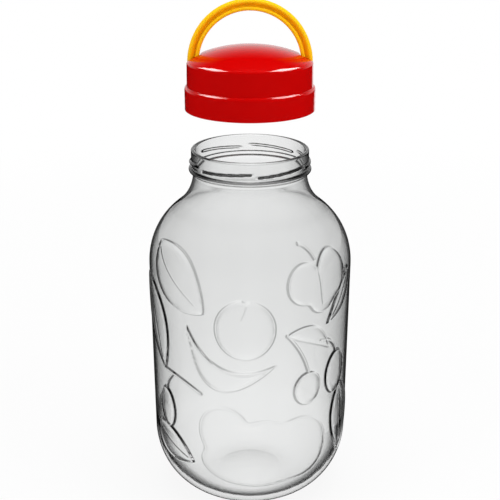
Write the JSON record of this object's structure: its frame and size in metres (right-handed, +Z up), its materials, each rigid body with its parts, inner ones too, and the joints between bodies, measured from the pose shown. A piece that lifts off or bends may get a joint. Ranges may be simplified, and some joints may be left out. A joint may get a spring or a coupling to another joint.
{
  "type": "liqueur jar",
  "caption": "Large round-shouldered glass jar for liqueurs and preserves, with a red plastic cap that lifts off and turns to lock, and a yellow carrying handle that folds into the cap.",
  "frame": {"origin": "on the floor, in the middle of the jar's foot", "axes": "+Z up along the jar's axis, -Y to the front, +X to the right"},
  "size_m": [0.17, 0.17, 0.4175],
  "materials": {
    "glass": "polished, clear",
    "cap_plastic": "glossy, moulded",
    "handle_plastic": "glossy, moulded",
    "liner_plastic": "soft, matt"
  },
  "bodies": {
    "jar": {"glass_jar": "glass"},
    "liner": {"seal_liner": "liner_plastic"},
    "cap": {"cap_shell": "cap_plastic"},
    "handle": {"handle": "handle_plastic"}
  },
  "joints": [
    {"name": "lid_lift", "type": "slide", "parent": "jar", "child": "liner", "axis": [0, 0, 1], "range_m": [-0.048, 0]},
    {"name": "lid_turn", "type": "hinge", "parent": "liner", "child": "cap", "pos_m": [0, 0, 0.3488], "axis": [0, 0, 1], "range_deg": [-36, 0]},
    {"name": "handle_swing", "type": "hinge", "parent": "cap", "child": "handle", "pos_m": [0, 0, 0.3687], "axis": [-1, 0, 0], "range_deg": [0, 90]}
  ]
}
